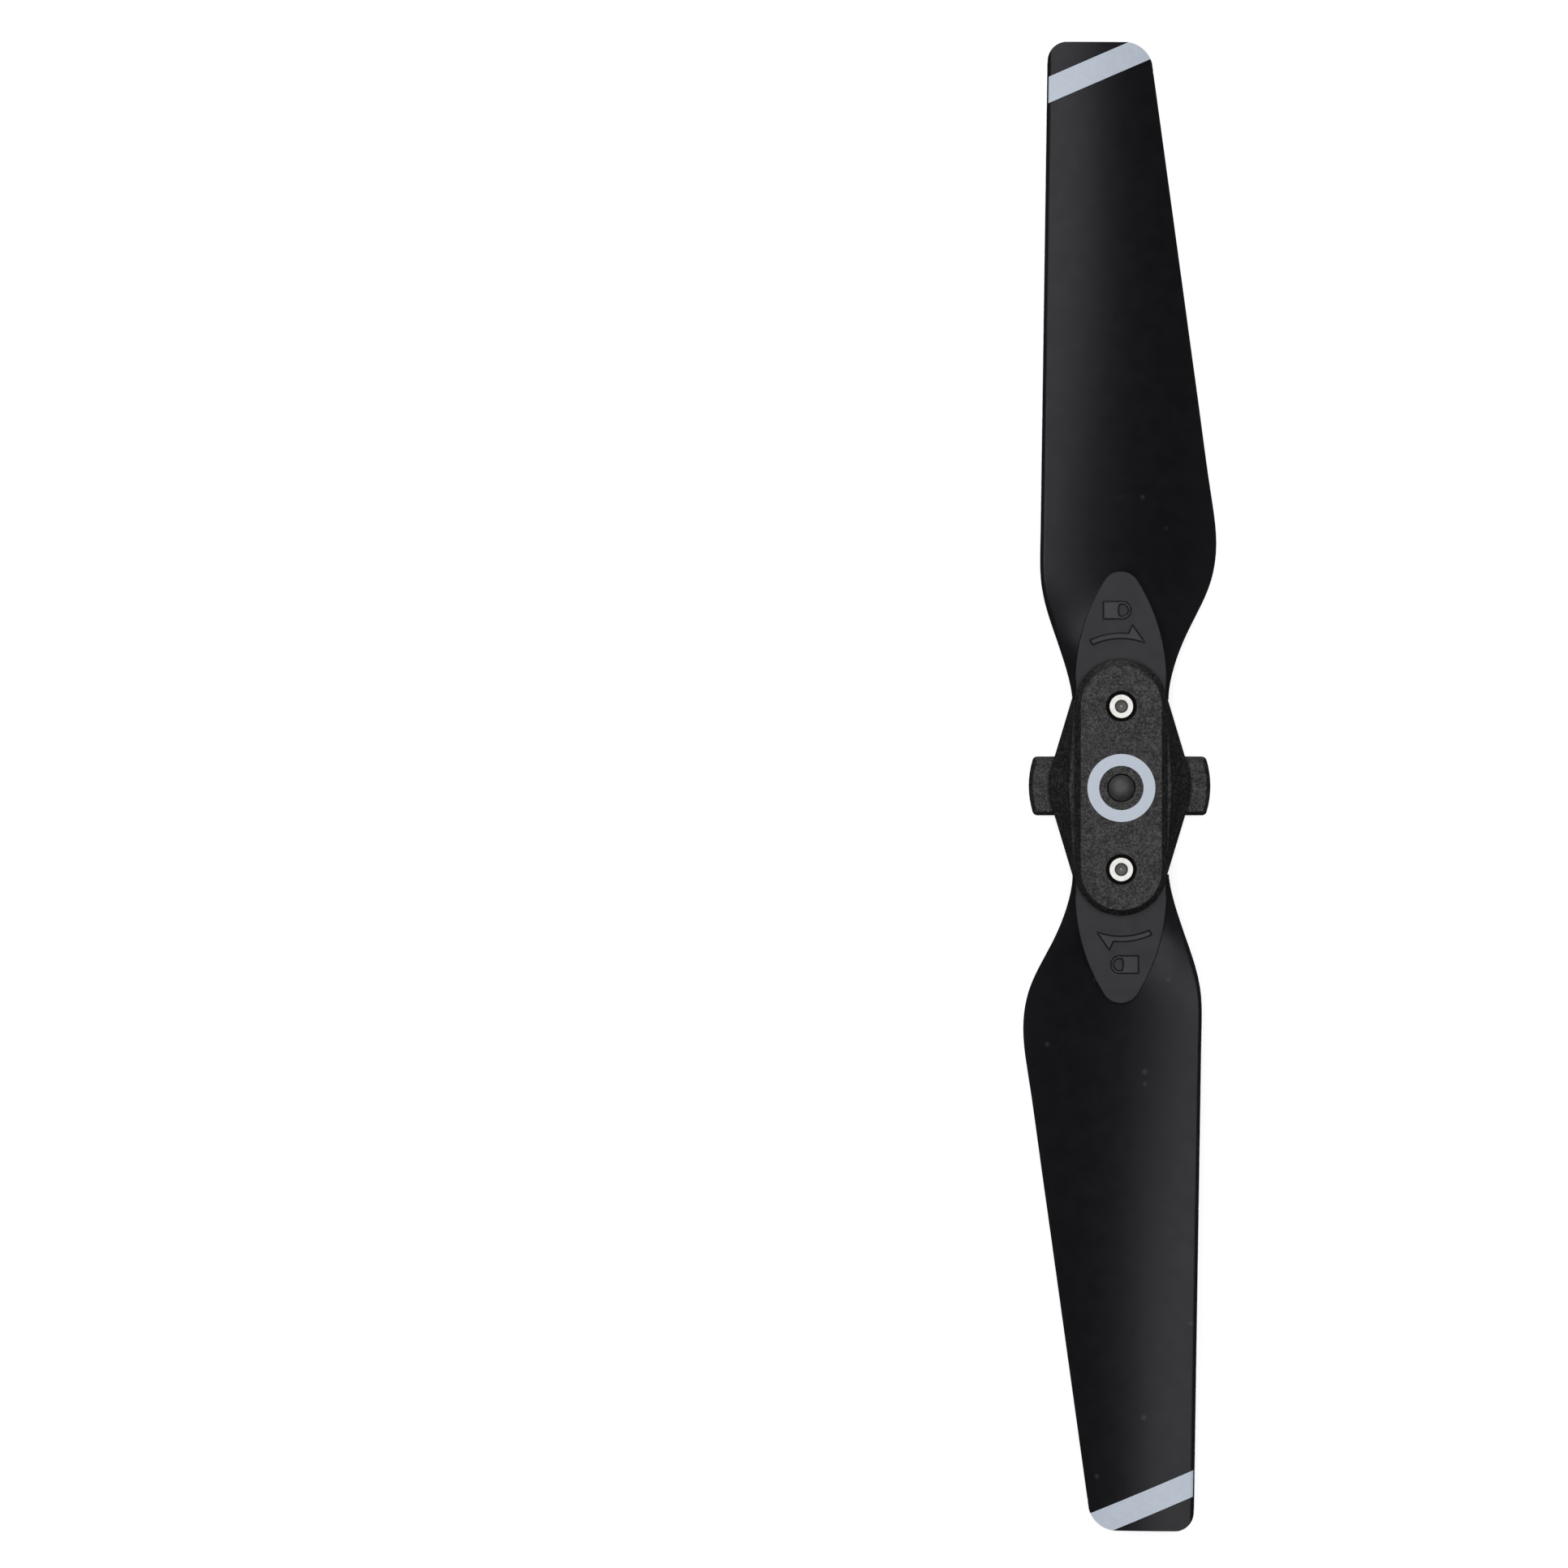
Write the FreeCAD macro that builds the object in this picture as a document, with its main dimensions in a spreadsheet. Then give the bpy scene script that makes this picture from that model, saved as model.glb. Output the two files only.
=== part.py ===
import FreeCAD, Part
import os
import re

import Sketcher

# Folding quick-release propeller, turning anticlockwise seen from above.
# Millimetres. +Z is the rotation axis, pointing up through the hub's top plate, and the origin is where
# that axis meets the face that the hub rests on. Blade A points along +Y and blade B along -Y.

Vector = FreeCAD.Vector

# Driving dimensions: name, value, what it is.
SIZES = [
    ("tip_radius", 59.7, "rotation axis to blade tip, half of the propeller's diameter"),
    ("pitch_per_turn", 76.2, "advance in one turn, at the outer part of the blade"),
    ("pitch_washout", 16.0, "radius inside which the pitch angle falls off"),
    ("hinge_offset", 6.53, "rotation axis to each blade hinge"),
    # lower hub
    ("skirt_bottom", 0.9, "underside of the hub arms above the rest face"),
    ("skirt_top", 1.9, "top of the upright part of the hub's side"),
    ("rim_height", 3.6, "deck that the blade roots turn on"),
    ("disc_radius", 5.7, "round base of the hub"),
    ("arm_radius", 3.82, "hub arm end at its foot"),
    ("rim_half_width", 4.12, "hub deck half width at the middle"),
    ("rim_end_radius", 3.74, "hub deck end round the hinge"),
    ("web_half_width", 3.2, "block between the plates, along X"),
    ("web_gap", 1.02, "that block to each blade root, along Y"),
    ("lug_radius", 7.3, "outside of the bayonet lugs"),
    ("lug_half_width", 2.36, "bayonet lug half width"),
    ("lug_thickness", 1.2, "bayonet lug height"),
    ("lug_bevel", 0.3, "bevel round the top of a lug"),
    ("lug_corner", 0.4, "rounded upright corner of a lug"),
    ("socket_radius", 3.9, "recess for the motor's boss"),
    ("socket_depth", 2.1, "depth of that recess"),
    ("shaft_radius", 1.0, "blind hole for the motor's centre pin"),
    ("shaft_depth", 1.7, "depth of that hole above the recess"),
    # upper hub
    ("plate_end_radius", 3.72, "top plate end round the hinge"),
    ("plate_thickness", 1.7, "top plate"),
    ("plate_bevel_width", 0.46, "bevel round the top plate, seen from above"),
    ("plate_bevel_height", 0.75, "the same bevel, seen from the side"),
    # hinge rivets and centre pin
    ("shank_radius", 0.85, "rivet shank"),
    ("head_lip", 0.6, "rivet head wider than the shank, all round, under the hub arm"),
    ("head_height", 0.45, "rivet head"),
    ("flare_lip", 0.15, "rolled end of the rivet wider than the shank, all round"),
    ("flare_height", 0.5, "rolled end of the rivet"),
    ("flare_slope", 0.15, "height of the cone under the rolled end"),
    ("flare_bevel", 0.06, "bevel round the rolled end"),
    ("flare_inset", 0.1, "top of the rivet below the top plate"),
    ("rivet_bore_radius", 0.52, "hollow end of the rivet"),
    ("rivet_bore_depth", 0.9, "hollow end of the rivet"),
    ("rivet_bore_point", 0.08, "pointed floor of that hollow"),
    ("counterbore_gap", 0.22, "recess round the rivet's rolled end, clear of it all round"),
    ("pin_radius", 1.04, "domed centre pin"),
    ("pin_dome_height", 0.18, "dome of the centre pin"),
    ("pin_inset", 0.06, "rim of the dome below the top plate"),
    ("pin_seat_depth", 1.2, "how far the centre pin goes into the lower hub"),
    ("ring_inner_radius", 1.78, "printed ring"),
    ("ring_outer_radius", 2.72, "printed ring"),
    ("print_thickness", 0.05, "printed marks"),
    # blade root
    ("root_thickness", 2.2, "blade root between the plates"),
    ("eye_radius", 3.66, "blade root round the hinge, and half the width of its flat top"),
    ("flat_side_length", 1.97, "hinge to where the sides of the root's flat top begin to close"),
    ("flat_nose_radius", 1.6, "tip of the flat top"),
    ("flat_top_length", 10.77, "hinge to the tip of the flat top"),
    ("relief_gap", 0.68, "step up to the root's underside, clear of the deck's end"),
    # blade
    ("twist_axis_offset", 1.8, "line that the sections turn about, ahead of the rotation axis"),
    ("twist_axis_drop", 1.35, "the same line, below the flat top"),
    ("shoulder_thickness", 1.25, "blade thickness at the shoulder"),
    ("tip_thickness", 0.8, "blade thickness at the tip"),
    ("camber_share", 0.04, "camber as a share of the chord"),
    ("lead_half_edge", 0.34, "half the thickness of the leading edge"),
    ("lead_nose_share", 0.85, "how far the leading edge bulges, as a share of its half thickness"),
    ("trail_half_edge", 0.17, "half the thickness of the trailing edge"),
    ("shoulder_length", 13.97, "hinge to where the blade is widest and its straight edges begin"),
    ("shoulder_lead", 6.43, "leading edge ahead of the rotation axis there"),
    ("shoulder_trail", 7.66, "trailing edge behind the rotation axis there"),
    ("tip_lead", 5.88, "leading edge at the tip"),
    ("tip_trail", 2.25, "trailing edge at the tip"),
    ("tip_lead_corner_width", 1.35, "rounded corner of the tip, leading side, across the blade"),
    ("tip_lead_corner_length", 1.7, "the same corner, along the blade"),
    ("tip_trail_corner_width", 2.1, "rounded corner of the tip, trailing side, across the blade"),
    ("tip_trail_corner_length", 2.5, "the same corner, along the blade"),
    # raised marks on the flat top
    ("mark_height", 0.1, "raised padlock and arrow"),
    ("arrow_radius", 5.62, "middle of the arrow's stroke round the hinge"),
    ("arrow_stroke", 0.42, "arrow stroke width"),
    ("arrow_barb", 0.95, "how far the arrow's barb stands out from the middle of the stroke"),
    ("arrow_tail_angle", 115, "degrees round the hinge from +X to the arrow's tail"),
    ("arrow_neck_angle", 84, "the same, to the back of its head"),
    ("arrow_barb_angle", 82, "the same, to its barb"),
    ("arrow_tip_angle", 69, "the same, to its point"),
    ("lock_reach", 7.67, "hinge to the middle of the padlock"),
    ("lock_body_end", 1.41, "padlock body's end, from the blade's middle line"),
    ("lock_bend", 0.1, "where the shackle's round end starts, from the same line"),
    ("lock_bulge", 0.1, "bulge of the shackle's window towards the body"),
    ("lock_half_width", 0.7, "padlock half width"),
    ("lock_line", 0.2, "padlock shackle thickness"),
    # printed band near the tip
    ("band_inset", 4.97, "tip to the band's inner edge, at the leading edge"),
    ("band_width", 2.12, "band along the leading edge"),
    ("band_slope", 0.434, "band's rise per millimetre towards the trailing edge"),
    ("band_margin", 0.12, "band short of the blade's edge"),
    # clearances
    ("deck_gap", 0.06, "blade root to hub deck, and to top plate"),
    ("hinge_gap", 0.04, "rivet shank to blade root, all round"),
    ("pin_gap", 0.08, "centre pin to top plate, all round"),
    ("head_gap", 0.15, "rivet head to the hub's round base, all round"),
]

# Places worked out from the driving dimensions.
DERIVED = [
    ("shoulder_radius", "hinge_offset + shoulder_length"),
    ("tip_trail_taper", "(shoulder_trail - tip_trail) / (tip_radius - shoulder_radius)"),
    ("root_bottom", "rim_height + deck_gap"),
    ("root_top", "root_bottom + root_thickness"),
    ("plate_bottom", "root_top + deck_gap"),
    ("plate_top", "plate_bottom + plate_thickness"),
    ("plate_face_radius", "plate_end_radius - plate_bevel_width"),
    ("web_half_depth", "hinge_offset - eye_radius - web_gap"),
    ("head_radius", "shank_radius + head_lip"),
    ("flare_radius", "shank_radius + flare_lip"),
    ("counterbore_radius", "flare_radius + counterbore_gap"),
    ("rivet_top", "plate_top - flare_inset"),
    ("counterbore_floor", "rivet_top - flare_height"),
    ("twist_axis_height", "root_top - twist_axis_drop"),
    ("blade_hole_radius", "shank_radius + hinge_gap"),
    ("flat_side_end", "hinge_offset + flat_side_length"),
    ("flat_nose_reach", "hinge_offset + flat_top_length"),
    ("relief_reach", "hinge_offset + rim_end_radius + relief_gap"),
    ("lock_height", "hinge_offset + lock_reach"),
    ("band_reach", "tip_radius - band_inset"),
]

# Inner blade sections: distance from the hinge, leading edge, trailing edge, pitch in degrees and
# thickness.
ROOT_STATIONS = [
    (0.47, 3.87, 3.84, 3.0, 2.0),
    (2.87, 4.36, 4.22, 6.0, 2.0),
    (4.97, 5.03, 4.96, 10.0, 2.0),
    (8.47, 6.13, 6.68, 18.0, 1.4),
    (11.17, 6.46, 7.55, 20.5, 1.3),
]
STATION_LETTERS = "abcdefgh"[:len(ROOT_STATIONS)]

# Outer blade sections, as shares of the way from the shoulder to the tip. The last one is past the
# tip, so that the tip's outline is cut in solid blade.
OUTER_SHARES = [0.0, 0.1, 0.22, 0.35, 0.48, 0.61, 0.74, 0.87, 1.0, 1.04]

# Lengths closer than this count as equal when edges are picked.
CLOSE = 0.01

doc = FreeCAD.newDocument("folding_propeller")
sheet = doc.addObject("Spreadsheet::Sheet", "sizes")
names = []


def add_cell(name, text, note):
    row = len(names) + 1
    sheet.set(f"A{row}", name)
    sheet.set(f"B{row}", text)
    sheet.set(f"C{row}", note)
    sheet.setAlias(f"B{row}", name)
    names.append(name)


def bound(text):
    """The expression with each size's name pointing at its cell."""
    return re.sub(r"[a-z_]+", lambda m: f"sizes.{m.group()}" if m.group() in names else m.group(), text)


def value(text):
    """What an expression comes to now, as a plain number."""
    result = sheet.evalExpression(bound(text))
    return float(getattr(result, "Value", result))


def fill_sheet():
    for name, size, note in SIZES:
        add_cell(name, str(size), note)
    for label, (reach, lead, trail, pitch, thickness) in zip(STATION_LETTERS, ROOT_STATIONS):
        add_cell(f"station_{label}", str(reach), "inner blade section, from the hinge")
        add_cell(f"lead_{label}", str(lead), "its leading edge")
        add_cell(f"trail_{label}", str(trail), "its trailing edge")
        add_cell(f"pitch_{label}", str(pitch), "its pitch angle")
        add_cell(f"thickness_{label}", str(thickness), "its thickness")
    doc.recompute()
    for name, text in DERIVED:
        add_cell(name, f"={text}", "worked out")
        doc.recompute()


# Sketches

def plane(body, role):
    return [feature for feature in body.Origin.OriginFeatures if feature.Role == role][0]


def new_sketch(body, name, role="XY_Plane", offset="0"):
    sketch = body.newObject("Sketcher::SketchObject", name)
    sketch.AttachmentSupport = [(plane(body, role), "")]
    sketch.MapMode = "FlatFace"
    sketch.setExpression("AttachmentOffset.Base.z", bound(offset))
    return sketch


def hold(sketch, kind, *args):
    """Adds a constraint whose last argument is an expression, and binds it."""
    *where, text = args
    index = sketch.addConstraint(Sketcher.Constraint(kind, *where, value(text)))
    sketch.setExpression(f"Constraints[{index}]", bound(text))


def hold_point(sketch, geo, end, x, y):
    hold(sketch, "DistanceX", geo, end, x)
    hold(sketch, "DistanceY", geo, end, y)


def circle(sketch, x, y, radius):
    centre = Vector(value(x), value(y), 0)
    geo = sketch.addGeometry(Part.Circle(centre, Vector(0, 0, 1), value(radius)))
    hold_point(sketch, geo, 3, x, y)
    hold(sketch, "Radius", geo, radius)


def outline(sketch, points, arcs=None):
    """A closed outline through points, each an (x, y) pair of expressions. arcs gives, for the edge that
    starts at a point's index, a third point that the edge bends through; its other edges are straight."""
    arcs = arcs or {}
    corners = [Vector(value(x), value(y), 0) for x, y in points]
    edges = []
    for index, start in enumerate(corners):
        end = corners[(index + 1) % len(corners)]
        if index in arcs:
            middle = Vector(value(arcs[index][0]), value(arcs[index][1]), 0)
            arc = Part.Arc(start, middle, end)
            turned = (middle - start).cross(end - middle).z < 0
            edges.append((sketch.addGeometry(arc), turned))
        else:
            edges.append((sketch.addGeometry(Part.LineSegment(start, end)), False))
    for index, (geo, turned) in enumerate(edges):
        following, following_turned = edges[(index + 1) % len(edges)]
        own_end = 1 if turned else 2
        next_start = 2 if following_turned else 1
        sketch.addConstraint(Sketcher.Constraint("Coincident", geo, own_end, following, next_start))
        hold_point(sketch, geo, 2 if turned else 1, *points[index])
        if index in arcs:
            through = sketch.addGeometry(Part.Point(Vector(value(arcs[index][0]),
                                                           value(arcs[index][1]), 0)), True)
            hold_point(sketch, through, 1, *arcs[index])
            sketch.addConstraint(Sketcher.Constraint("PointOnObject", through, 1, geo))


def box_outline(sketch, low_x, low_y, high_x, high_y):
    outline(sketch, [(low_x, low_y), (high_x, low_y), (high_x, high_y), (low_x, high_y)])


def waisted(sketch, middle, end):
    """Two end circles round the hinges and a middle circle, joined by their common tangents."""
    # The tangent's normal leans by lean from the X axis, with sin(lean) = (middle - end) / hinge_offset.
    lean_sin = f"(({middle} - {end}) / hinge_offset)"
    lean_cos = f"sqrt(1 - {lean_sin}^2)"
    near_x, near_y = f"{middle} * {lean_cos}", f"{middle} * {lean_sin}"
    far_x, far_y = f"{end} * {lean_cos}", f"(hinge_offset + {end} * {lean_sin})"
    outline(sketch, [
        (near_x, f"-{near_y}"), (near_x, near_y), (far_x, far_y), (f"-{far_x}", far_y),
        (f"-{near_x}", near_y), (f"-{near_x}", f"-{near_y}"), (f"-{far_x}", f"-{far_y}"),
        (far_x, f"-{far_y}"),
    ], {
        0: (middle, "0"), 2: ("0", f"hinge_offset + {end}"),
        4: (f"-{middle}", "0"), 6: ("0", f"-hinge_offset - {end}"),
    })


def stadium(sketch, radius):
    outline(sketch, [(radius, "-hinge_offset"), (radius, "hinge_offset"),
                     (f"-{radius}", "hinge_offset"), (f"-{radius}", "-hinge_offset")],
            {1: ("0", f"hinge_offset + {radius}"), 3: ("0", f"-hinge_offset - {radius}")})


# Features

def new_body(label):
    body = doc.addObject("PartDesign::Body", label)
    body.Label = label
    return body


def pad(body, sketch, length, name):
    feature = body.newObject("PartDesign::Pad", name)
    feature.Profile = sketch
    feature.setExpression("Length", bound(length))
    return feature


def ruled_loft(body, foot, top, name):
    feature = body.newObject("PartDesign::AdditiveLoft", name)
    feature.Profile = foot
    feature.Sections = [top]
    feature.Ruled = True
    return feature


def cut(body, sketch, length, name, upwards):
    """A pocket from the sketch, up or down, which has to take something away."""
    doc.recompute()
    before = body.Shape.Volume
    feature = body.newObject("PartDesign::Pocket", name)
    feature.Profile = sketch
    feature.setExpression("Length", bound(length))
    feature.Reversed = upwards
    doc.recompute()
    if body.Shape.Volume >= before:
        raise RuntimeError(f"{name} cuts nothing")
    return feature


def revolve(body, sketch, name):
    feature = body.newObject("PartDesign::Revolution", name)
    feature.Profile = sketch
    feature.ReferenceAxis = (sketch, ["V_Axis"])
    feature.Angle = 360
    return feature


def dress(body, kind, name, size_name, size, test):
    """A fillet or chamfer on the edges of the body so far that pass the test."""
    doc.recompute()
    base = body.Tip
    edges = [f"Edge{index + 1}" for index, edge in enumerate(base.Shape.Edges) if test(edge)]
    feature = body.newObject(f"PartDesign::{kind}", name)
    feature.Base = (base, edges)
    feature.setExpression(size_name, bound(size))
    doc.recompute()
    return feature


# Hub, rivets and centre pin

def make_lower_hub():
    body = new_body("lower_hub")
    disc = new_sketch(body, "disc_outline")
    circle(disc, "0", "0", "disc_radius")
    pad(body, disc, "skirt_top", "disc")
    arms = new_sketch(body, "arm_outline", offset="skirt_bottom")
    waisted(arms, "disc_radius", "arm_radius")
    pad(body, arms, "skirt_top - skirt_bottom", "arms")
    foot = new_sketch(body, "slope_foot", offset="skirt_top")
    waisted(foot, "disc_radius", "arm_radius")
    rim = new_sketch(body, "slope_rim", offset="rim_height")
    waisted(rim, "rim_half_width", "rim_end_radius")
    ruled_loft(body, foot, rim, "slope")
    web = new_sketch(body, "web_outline", offset="rim_height")
    box_outline(web, "-web_half_width", "-web_half_depth", "web_half_width", "web_half_depth")
    pad(body, web, "plate_bottom - rim_height", "web")
    add_lugs(body)
    socket = new_sketch(body, "socket_outline")
    circle(socket, "0", "0", "socket_radius")
    cut(body, socket, "socket_depth", "socket", upwards=True)
    shaft = new_sketch(body, "shaft_outline", offset="socket_depth")
    circle(shaft, "0", "0", "shaft_radius")
    cut(body, shaft, "shaft_depth", "shaft_hole", upwards=True)
    seat = new_sketch(body, "pin_seat_outline", offset="plate_bottom")
    circle(seat, "0", "0", "pin_radius")
    cut(body, seat, "pin_seat_depth", "pin_seat", upwards=False)
    holes = new_sketch(body, "rivet_holes", offset="skirt_bottom")
    wells = new_sketch(body, "head_recesses")
    for side in ("", "-"):
        circle(holes, "0", f"{side}hinge_offset", "shank_radius")
        circle(wells, "0", f"{side}hinge_offset", "head_radius + head_gap")
    cut(body, holes, "rim_height - skirt_bottom", "rivet_hole_pair", upwards=True)
    cut(body, wells, "skirt_bottom", "head_recess_pair", upwards=True)
    return body


def add_lugs(body):
    """Two lugs, each a bar that ends in an arc about the rotation axis."""
    lugs = new_sketch(body, "lug_outline")
    corner_x = "sqrt(lug_radius^2 - lug_half_width^2)"
    outline(lugs, [(corner_x, "-lug_half_width"), (corner_x, "lug_half_width"),
                   (f"-{corner_x}", "lug_half_width"), (f"-{corner_x}", "-lug_half_width")],
            {0: ("lug_radius", "0"), 2: ("-lug_radius", "0")})
    pad(body, lugs, "lug_thickness", "lugs")
    reach = value(corner_x)
    top = value("lug_thickness")

    def is_corner(edge):
        middle = edge.CenterOfMass
        return abs(abs(middle.x) - reach) < CLOSE and abs(edge.BoundBox.ZLength - top) < CLOSE

    dress(body, "Fillet", "lug_corners", "Radius", "lug_corner", is_corner)
    disc = value("disc_radius")

    def is_top(edge):
        box = edge.BoundBox
        flat = box.ZLength < CLOSE and abs(box.ZMax - top) < CLOSE
        return flat and abs(edge.CenterOfMass.x) > disc

    dress(body, "Chamfer", "lug_bevels", "Size", "lug_bevel", is_top)


def make_upper_hub():
    body = new_body("upper_hub")
    base = new_sketch(body, "plate_outline", offset="plate_bottom")
    stadium(base, "plate_end_radius")
    pad(body, base, "plate_thickness - plate_bevel_height", "plate")
    foot = new_sketch(body, "bevel_foot", offset="plate_top - plate_bevel_height")
    stadium(foot, "plate_end_radius")
    face = new_sketch(body, "bevel_top", offset="plate_top")
    stadium(face, "plate_face_radius")
    ruled_loft(body, foot, face, "bevel")
    wells = new_sketch(body, "counterbores", offset="plate_top")
    holes = new_sketch(body, "rivet_holes", offset="plate_top")
    for side in ("", "-"):
        circle(wells, "0", f"{side}hinge_offset", "counterbore_radius")
        circle(holes, "0", f"{side}hinge_offset", "shank_radius")
    cut(body, wells, "plate_top - counterbore_floor", "counterbore_pair", upwards=False)
    cut(body, holes, "plate_thickness", "rivet_hole_pair", upwards=False)
    centre = new_sketch(body, "centre_hole", offset="plate_top")
    circle(centre, "0", "0", "pin_radius + pin_gap")
    cut(body, centre, "plate_thickness", "pin_hole", upwards=False)
    return body


def crown_middle(radius, rise):
    """Middle point of a dome's profile, from the centre of the dome's base: the arc from its rim to its
    top, about a centre on the axis."""
    ball = f"(({radius}^2 + {rise}^2) / (2 * {rise}))"
    half = f"(asin({radius} / {ball}) / 2)"
    return f"{ball} * sin({half})", f"({rise} - {ball} + {ball} * cos({half}))"


def make_rivet(label, side):
    """Semi-tubular rivet: a domed head below, and a rolled hollow end above."""
    body = new_body(label)
    profile = new_sketch(body, "rivet_profile", role="XZ_Plane")
    head_bottom = "skirt_bottom - head_height"
    crown_x, crown_rise = crown_middle("head_radius", "head_height")
    outline(profile, [
        ("0", head_bottom), ("head_radius", "skirt_bottom"), ("shank_radius", "skirt_bottom"),
        ("shank_radius", "counterbore_floor"), ("flare_radius", "counterbore_floor + flare_slope"),
        ("flare_radius", "rivet_top - flare_bevel"), ("flare_radius - flare_bevel", "rivet_top"),
        ("rivet_bore_radius", "rivet_top"), ("rivet_bore_radius", "rivet_top - rivet_bore_depth"),
        ("0", "rivet_top - rivet_bore_depth - rivet_bore_point"),
    ], {0: (crown_x, f"skirt_bottom - {crown_rise}")})
    revolve(body, profile, "rivet_body")
    body.setExpression("Placement.Base.y", bound(f"{side}hinge_offset"))
    return body


def make_centre_pin():
    body = new_body("centre_pin")
    profile = new_sketch(body, "pin_profile", role="XZ_Plane")
    foot = "plate_bottom - pin_seat_depth"
    shoulder = "plate_top - pin_inset"
    crown_x, crown_rise = crown_middle("pin_radius", "pin_dome_height")
    outline(profile, [("0", foot), ("pin_radius", foot), ("pin_radius", shoulder),
                      ("0", f"{shoulder} + pin_dome_height")],
            {2: (crown_x, f"{shoulder} + {crown_rise}")})
    revolve(body, profile, "pin_body")
    return body


def make_ring_mark():
    body = new_body("ring_mark")
    ring = new_sketch(body, "ring_outline", offset="plate_top")
    circle(ring, "0", "0", "ring_outer_radius")
    circle(ring, "0", "0", "ring_inner_radius")
    pad(body, ring, "print_thickness", "ring")
    return body


# Blade

def stations():
    """Reach, leading edge, trailing edge, slope of the chord and thickness of each section."""
    rows = [(f"(hinge_offset + station_{label})", f"lead_{label}", f"trail_{label}",
             f"tan(pitch_{label} * 1deg)", f"thickness_{label}") for label in STATION_LETTERS]
    for share in OUTER_SHARES:
        reach = f"(shoulder_radius + {share} * (tip_radius - shoulder_radius))"
        lead = f"(shoulder_lead + {share} * (tip_lead - shoulder_lead))"
        trail = f"(shoulder_trail + {share} * (tip_trail - shoulder_trail))"
        slope = f"(pitch_per_turn * {reach} / (2 * pi * ({reach}^2 + pitch_washout^2)))"
        thickness = f"(shoulder_thickness + {share} * (tip_thickness - shoulder_thickness))"
        rows.append((reach, lead, trail, slope, thickness))
    return rows


def section(body, index, reach, lead, trail, slope, thickness):
    """One blade section: crowned top, hollow underside, round leading edge and square trailing edge.
    It lies in a plane square to the span and is turned by the pitch angle about the twist axis."""
    sketch = new_sketch(body, f"section_{index}", role="XZ_Plane", offset=f"-{reach}")
    sketch.setExpression("AttachmentOffset.Base.x", bound("-twist_axis_offset"))
    sketch.setExpression("AttachmentOffset.Base.y", bound("twist_axis_height"))
    sketch.setExpression("AttachmentOffset.Rotation.Angle", bound(f"-atan({slope})"))
    flatten = f"sqrt(1 + {slope}^2)"
    nose = "(lead_nose_share * lead_half_edge)"
    front = f"(({lead} - twist_axis_offset) * {flatten} - {nose})"
    back = f"(({trail} + twist_axis_offset) * {flatten})"
    middle = f"(({back} - {front}) / 2)"
    camber = f"(camber_share * ({front} + {back}))"
    outline(sketch, [
        (f"-{front}", "lead_half_edge"), (f"-{front}", "-lead_half_edge"),
        (back, "-trail_half_edge"), (back, "trail_half_edge"),
    ], {
        0: (f"-{front} - {nose}", "0"),
        1: (middle, f"{camber} - {thickness} / 2"),
        3: (middle, f"{camber} + {thickness} / 2"),
    })
    return sketch


def flat_top_outline(sketch):
    """The root's flat top: round the hinge, then straight sides, and two long arcs that close on a nose."""
    depth = "(flat_nose_reach - flat_nose_radius - flat_side_end)"
    side = f"((eye_radius^2 + {depth}^2 - flat_nose_radius^2) / (2 * (eye_radius - flat_nose_radius)))"
    between = f"({side} - flat_nose_radius)"
    meet_x = f"(flat_nose_radius * ({side} - eye_radius) / {between})"
    meet_y = f"(flat_nose_reach - flat_nose_radius + flat_nose_radius * {depth} / {between})"
    # A point half way along the long arc, whose centre is level with the end of the straight side.
    bend_y = f"((flat_side_end + {meet_y}) / 2)"
    bend_x = f"(sqrt({side}^2 - ({bend_y} - flat_side_end)^2) - {side} + eye_radius)"
    outline(sketch, [
        ("eye_radius", "hinge_offset"), ("eye_radius", "flat_side_end"), (meet_x, meet_y),
        (f"-{meet_x}", meet_y), ("-eye_radius", "flat_side_end"), ("-eye_radius", "hinge_offset"),
    ], {
        1: (bend_x, bend_y), 2: ("0", "flat_nose_reach"), 3: (f"-{bend_x}", bend_y),
        5: ("0", "hinge_offset - eye_radius"),
    })


def cut_relief(body):
    """Step underneath the blade, so that it folds past the hub's deck."""
    under = new_sketch(body, "relief_outline", offset="root_bottom")
    box_outline(under, "-shoulder_trail", "0", "shoulder_trail", "relief_reach")
    cut(body, under, "shoulder_trail", "relief", upwards=False)


def cut_tip(body):
    """The tip's square end with a rounded corner at each side."""
    # How far a quarter circle's middle stands in from its corner, as a share of its radius.
    inset = "(1 - sqrt(1 / 2))"
    clear = "shoulder_trail"
    lead_side, lead_start = "-tip_lead", "tip_radius - tip_lead_corner_length"
    trail_side = "(tip_trail + tip_trail_corner_length * tip_trail_taper)"
    trail_start = "tip_radius - tip_trail_corner_length"
    tip = new_sketch(body, "tip_outline")
    outline(tip, [
        (lead_side, lead_start),
        (f"{lead_side} + tip_lead_corner_width", "tip_radius"),
        (f"{trail_side} - tip_trail_corner_width", "tip_radius"),
        (trail_side, trail_start),
        (clear, trail_start),
        (clear, f"tip_radius + {clear}"),
        (f"-{clear}", f"tip_radius + {clear}"),
        (f"-{clear}", lead_start),
    ], {
        0: (f"{lead_side} + tip_lead_corner_width * {inset}",
            f"tip_radius - tip_lead_corner_length * {inset}"),
        2: (f"{trail_side} - tip_trail_corner_width * {inset}",
            f"tip_radius - tip_trail_corner_length * {inset}"),
    })
    cut(body, tip, "plate_top", "tip", upwards=True)


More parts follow.
